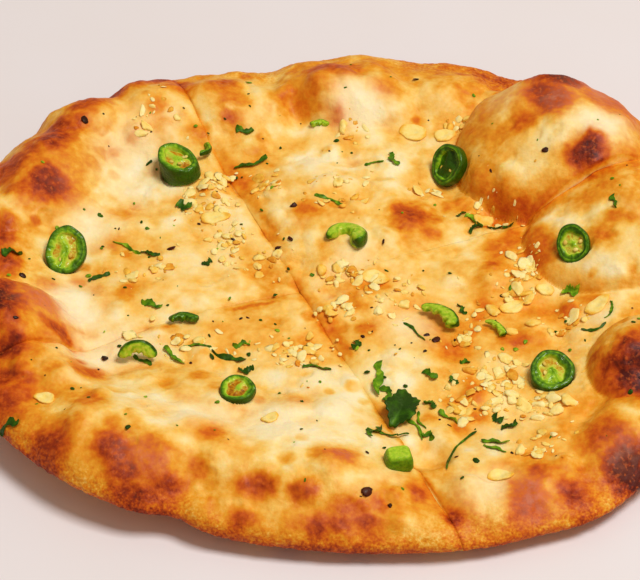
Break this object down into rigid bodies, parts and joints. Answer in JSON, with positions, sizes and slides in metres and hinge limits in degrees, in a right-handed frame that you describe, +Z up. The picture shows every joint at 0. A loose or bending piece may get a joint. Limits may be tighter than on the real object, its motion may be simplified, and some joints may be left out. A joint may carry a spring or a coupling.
{
  "type": "naan bread",
  "caption": "Round naan bread cut crosswise into slices that lie together, puffed and browned at the rim, with green chilli, garlic and coriander.",
  "frame": {"origin": "middle of the bread's outline, on the surface it lies on", "axes": "+Z up out of the crust, +X along the bread's longest side, towards the side with the large bubble behind it"},
  "size_m": [0.272, 0.2546, 0.0375],
  "materials": {
    "crust": "baked wheat crust, pale gold with browned and charred bubbles, lightly buttered, with garlic and herb pieces baked on",
    "chilli": "moist green chilli, darker skin outside and lighter flesh inside",
    "coriander": "wilted dark green leaf"
  },
  "bodies": {
    "root": {"slice_back_right": "crust", "slice_back_left": "crust", "slice_front_left": "crust", "slice_front_right": "crust", "chilli_thick_slice": "chilli", "chilli_ring_left": "chilli", "chilli_ring_shaded": "chilli", "chilli_ring_slope": "chilli", "chilli_ring_right": "chilli", "chilli_ring_front": "chilli", "chilli_hook": "chilli", "chilli_half_ring": "chilli", "chilli_thin_slice": "chilli", "chilli_strip_middle": "chilli", "chilli_strip_small": "chilli", "chilli_dark_strip": "chilli", "chilli_back_strip": "chilli", "chilli_end": "chilli", "coriander_leaf": "coriander"}
  },
  "joints": []
}
